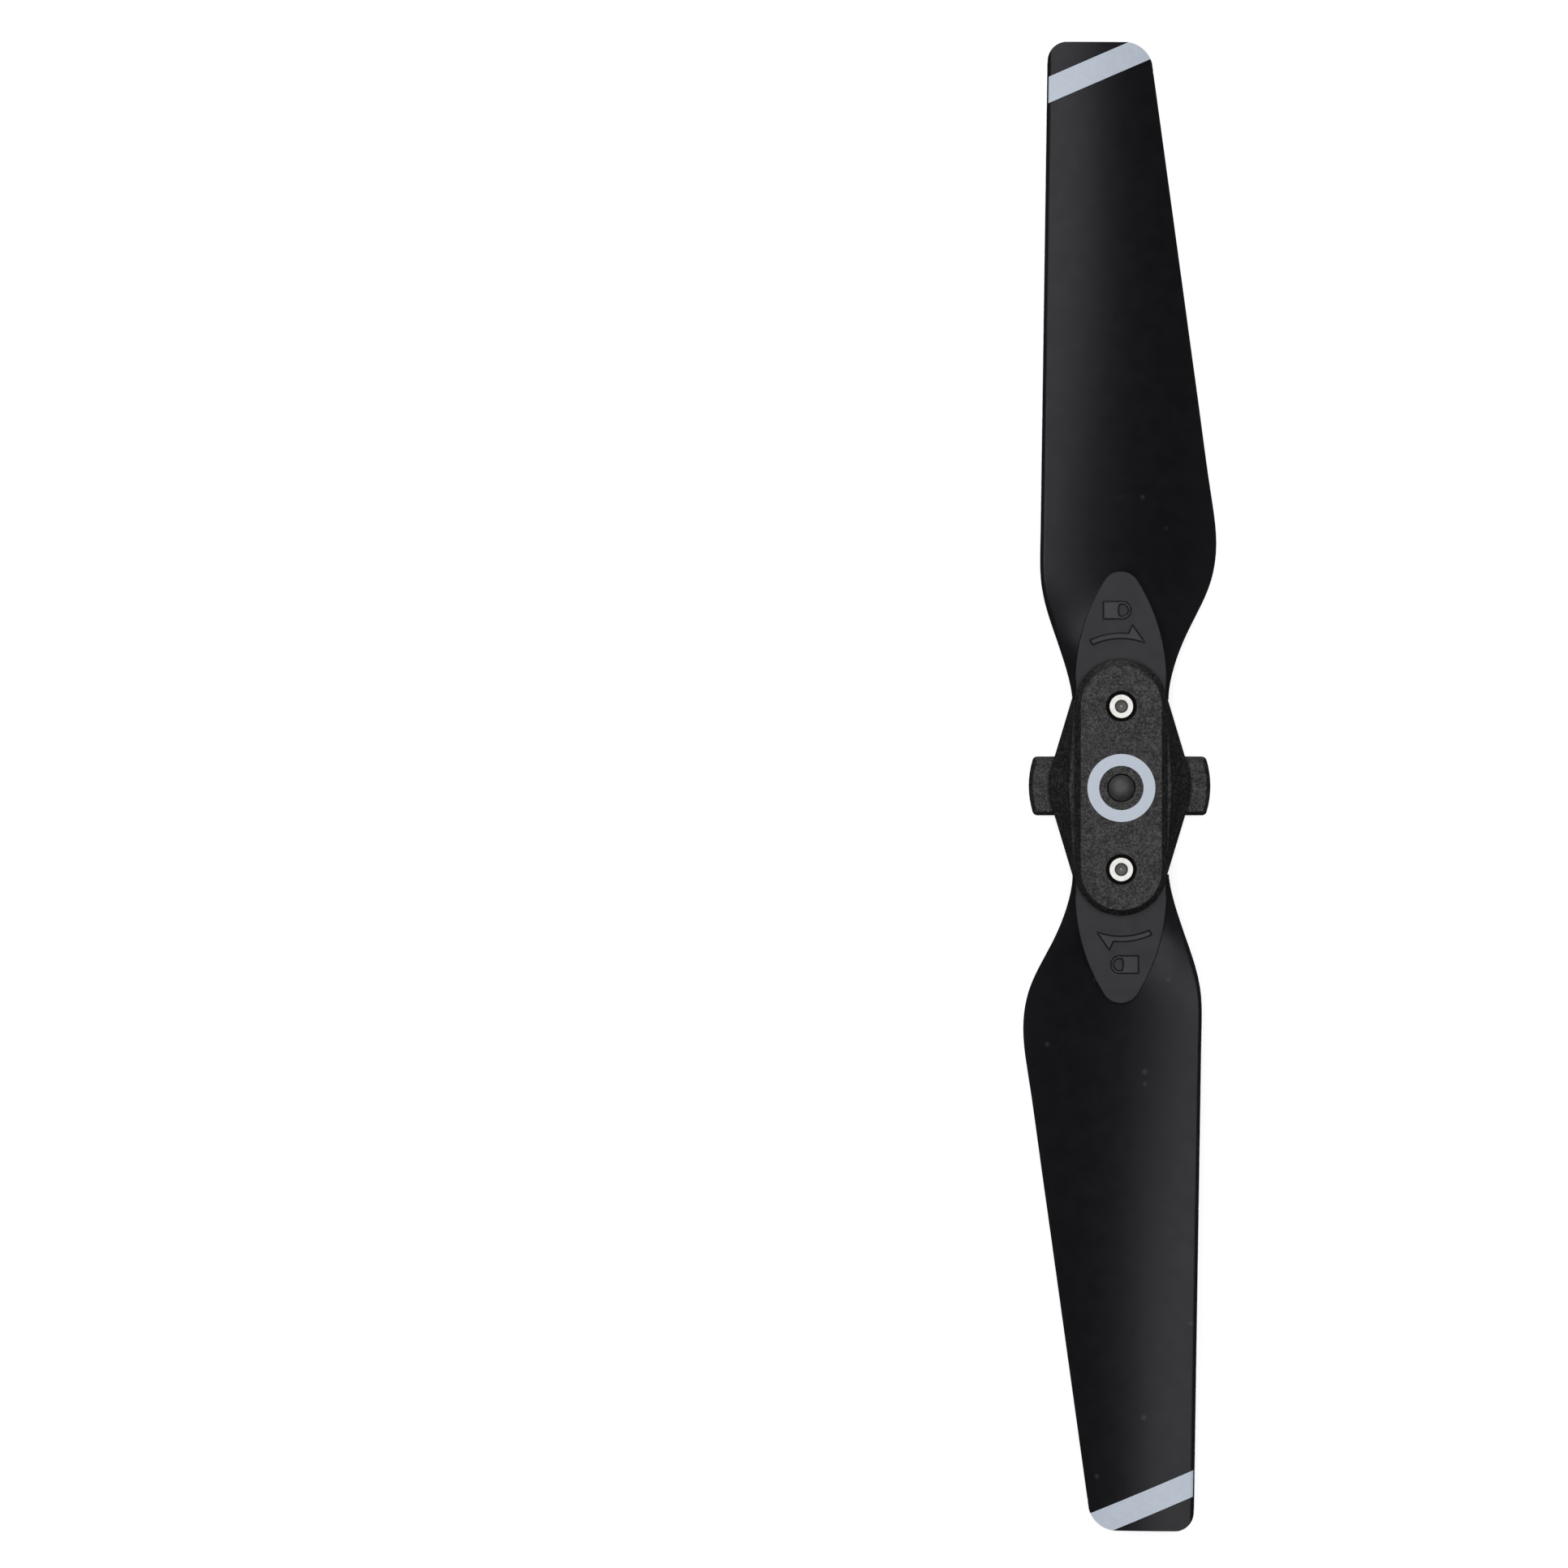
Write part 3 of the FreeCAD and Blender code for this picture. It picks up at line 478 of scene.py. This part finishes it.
def makeBladeNylon():
    finish = bladeNylon
    mat, tree, bsdf, where = startMaterial("bladeNylon", {
        "Specular IOR Level": finish["specular"], "Specular Tint": finish["tint"]})
    grain = useEffect(tree, "grain", where, finish["grain"])
    edges = useEffect(tree, "edges", where, finish["edges"])
    dust = useEffect(tree, "dust", where, finish["dust"])
    scuffs = useEffect(tree, "scuffs", where, finish["scuffs"])
    paintedCreviceShade = useEffect(tree, "paintedCreviceShade", where, finish["paintedCreviceShade"])
    base = blendColour(tree, grain["Mottle"], finish["dark"], finish["light"])
    base = blendColour(tree, edges["Wear"], base, finish["scuffed"])
    base = blendColour(tree, dust["Specks"], base, finish["dusty"])
    # The raised marks are a little paler than the flat, with a dark painted shade line round each.
    place = splitPlace(tree, where)
    along = mathNode(tree, "ABSOLUTE", place["Y"])
    aside = mathNode(tree, "ABSOLUTE", place["X"])
    inward = mathNode(tree, "LESS_THAN", along, finish["markReach"])
    leaning = mathNode(tree, "MULTIPLY_ADD", along, finish["markTaper"], aside)
    middle = mathNode(tree, "LESS_THAN", leaning, finish["markSide"])
    nearMarks = mathNode(tree, "MULTIPLY", inward, middle)
    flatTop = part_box("upper_hub")[0].z - finish["plateGap"]
    raised = mathNode(tree, "GREATER_THAN", place["Z"], flatTop + finish["markLift"])
    base = blendColour(tree, mathNode(tree, "MULTIPLY", nearMarks, raised), base, finish["mark"])
    level = mathNode(tree, "GREATER_THAN", place["Z"], flatTop - finish["markLift"])
    outline = mathNode(tree, "MULTIPLY", edges["Edge"], mathNode(tree, "MULTIPLY", nearMarks, level))
    base = blendColour(tree, outline, base, finish["outline"])
    # Painted shade darkens gaps and recesses in the same near black.
    base = blendColour(tree, paintedCreviceShade["Shade"], base, finish["outline"])
    tree.links.new(base, bsdf.inputs["Base Color"])
    rough = mathNode(tree, "MULTIPLY_ADD", grain["Mottle"],
                     finish["roughHigh"] - finish["roughLow"], finish["roughLow"])
    scratched = mathNode(tree, "MULTIPLY", scuffs["Lines"], finish["scuffPolish"])
    rough = mathNode(tree, "SUBTRACT", rough, scratched)
    rough = mathNode(tree, "MAXIMUM", rough, outline)
    tree.links.new(rough, bsdf.inputs["Roughness"])
    bumpInto(tree, bsdf, grain["Height"], finish)
    return mat


def makeSmoothFinish(name, finish):
    # A plain mottled skin whose roughness follows the mottle.
    mat, tree, bsdf, where = startMaterial(name, {"Specular IOR Level": finish["specular"]})
    grain = useEffect(tree, "grain", where, finish["grain"])
    base = blendColour(tree, grain["Mottle"], finish["dark"], finish["light"])
    tree.links.new(base, bsdf.inputs["Base Color"])
    rough = mathNode(tree, "MULTIPLY_ADD", grain["Mottle"], finish["roughSpread"], finish["rough"])
    tree.links.new(rough, bsdf.inputs["Roughness"])
    bumpInto(tree, bsdf, grain["Height"], finish)
    return mat


pinNylon = {
    "dark": (0.018, 0.018, 0.018),
    "light": (0.024, 0.024, 0.024),
    "rough": 0.36, "roughSpread": 0.1,
    "specular": 0.5,
    "bump": 0.15, "bumpDepth": 0.01 * mm,
    "grain": {"Mottle Scale": 1800.0, "Fibre Scale": 6000.0, "Fibre Amount": 0.2},
}


def makePinNylon():
    return makeSmoothFinish("pinNylon", pinNylon)


paleInk = {
    "dark": (0.73, 0.81, 0.94),
    "light": (0.78, 0.86, 0.98),
    "rough": 0.45, "roughSpread": 0.1,
    "specular": 0.4,
    "bump": 0.1, "bumpDepth": 0.01 * mm,
    "grain": {"Mottle Scale": 1500.0, "Fibre Scale": 6500.0, "Fibre Amount": 0.2},
}


def makePaleInk():
    return makeSmoothFinish("paleInk", paleInk)


rivetSteel = {
    "bright": (0.37, 0.362, 0.348),
    "dull": (0.31, 0.303, 0.29),
    # The bore colours are painted shade, a paler painted lit floor and a painted highlight dot.
    "paintedBoreShade": (0.10, 0.10, 0.10),
    "floor": (0.16, 0.155, 0.15),
    "rough": 0.34, "scuffRough": 0.2, "boreRough": 0.25,
    "bump": 0.06, "bumpDepth": 0.006 * mm,
    "edgeRound": 0.04 * mm,
    "boreRadius": 0.53 * mm,
    "floorRadius": 0.42 * mm,
    "paintedHighlightRadius": 0.07 * mm,
    "grain": {"Mottle Scale": 2600.0, "Fibre Scale": 9000.0, "Fibre Amount": 0.3},
    "scuffs": {"Scale": 2400.0, "Amount": 0.8},
}


def makeRivetSteel():
    finish = rivetSteel
    mat, tree, bsdf, where = startMaterial("rivetSteel", {"Metallic": 1.0})
    scuffs = useEffect(tree, "scuffs", where, finish["scuffs"])
    grain = useEffect(tree, "grain", where, finish["grain"])
    low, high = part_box("rivet_a")
    place = splitPlace(tree, where)
    # Distance from whichever rivet's own middle line is nearer.
    across = mathNode(tree, "SUBTRACT", mathNode(tree, "ABSOLUTE", place["Y"]), (low.y + high.y) / 2)
    squares = mathNode(tree, "ADD", mathNode(tree, "POWER", place["X"], 2.0),
                       mathNode(tree, "MULTIPLY", across, across))
    radius = mathNode(tree, "SQRT", squares)
    # Painted shade darkens the bore; its floor is painted paler as if lit, with a painted highlight dot in
    # its middle.
    paintedBoreShade = mathNode(tree, "LESS_THAN", radius, finish["boreRadius"])
    base = blendColour(tree, grain["Mottle"], finish["dull"], finish["bright"])
    base = blendColour(tree, paintedBoreShade, base, finish["paintedBoreShade"])
    for reach, colour in (("floorRadius", "floor"), ("paintedHighlightRadius", "bright")):
        inside = mathNode(tree, "LESS_THAN", radius, finish[reach])
        base = blendColour(tree, inside, base, finish[colour])
    tree.links.new(base, bsdf.inputs["Base Color"])
    rough = mathNode(tree, "MULTIPLY_ADD", scuffs["Lines"], finish["scuffRough"], finish["rough"])
    rough = mathNode(tree, "MULTIPLY_ADD", paintedBoreShade, finish["boreRough"], rough)
    tree.links.new(rough, bsdf.inputs["Roughness"])
    bumpInto(tree, bsdf, grain["Height"], finish)
    return mat


makeCamera()
makeLights()
makeWorld()
makeFloor()
scene.view_settings.view_transform = "Standard"
print("stage set")

finishes = [
    (makeHubNylon, ("lower_hub", "upper_hub")),
    (makeBladeNylon, ("blade_a", "blade_b")),
    (makePinNylon, ("centre_pin",)),
    (makeRivetSteel, ("rivet_a", "rivet_b")),
    (makePaleInk, ("ring_mark", "tip_band_a", "tip_band_b")),
]
for makeFinish, names in finishes:
    mat = makeFinish()
    for name in names:
        mesh = nodes[name].data
        mesh.materials.clear()
        mesh.materials.append(mat)
    print("finished", ", ".join(names))
